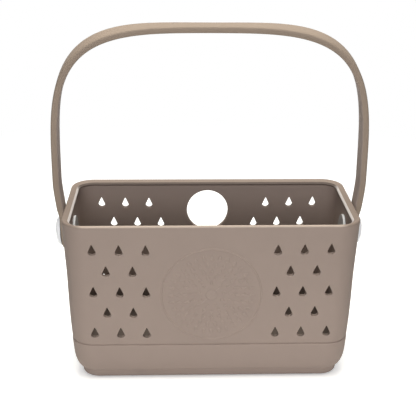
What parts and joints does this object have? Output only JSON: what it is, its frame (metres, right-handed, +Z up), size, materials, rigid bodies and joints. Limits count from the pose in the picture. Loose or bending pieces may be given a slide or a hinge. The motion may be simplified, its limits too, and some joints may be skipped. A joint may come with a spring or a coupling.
{
  "type": "bath caddy",
  "caption": "Open moulded tub with drop-shaped drain holes, a round hanging hole in the back wall and an arched strap handle that swings on two side rivets.",
  "frame": {"origin": "middle of the foot on the table, under the centre of the tub", "axes": "+X to the right along the tub's long side, +Y to the back wall with the hanging hole, +Z up through the handle's crown; the front wall with the round badge faces -Y"},
  "size_m": [0.326, 0.146, 0.3603],
  "materials": {
    "tub_foam": "matte moulded EVA foam, warm taupe",
    "strap_foam": "matte moulded EVA foam, warm taupe",
    "white_button": "glossy white plastic",
    "white_backing": "glossy white plastic"
  },
  "bodies": {
    "tub_body": {"tub": "tub_foam", "rivet_backing_left": "white_backing", "rivet_backing_right": "white_backing"},
    "handle": {"handle_strap": "strap_foam", "rivet_button_left": "white_button", "rivet_button_right": "white_button"}
  },
  "joints": [
    {"name": "handle_swing", "type": "hinge", "parent": "tub_body", "child": "handle", "pos_m": [0, 0, 0.142], "axis": [1, 0, 0], "range_deg": [-110, 110]}
  ]
}
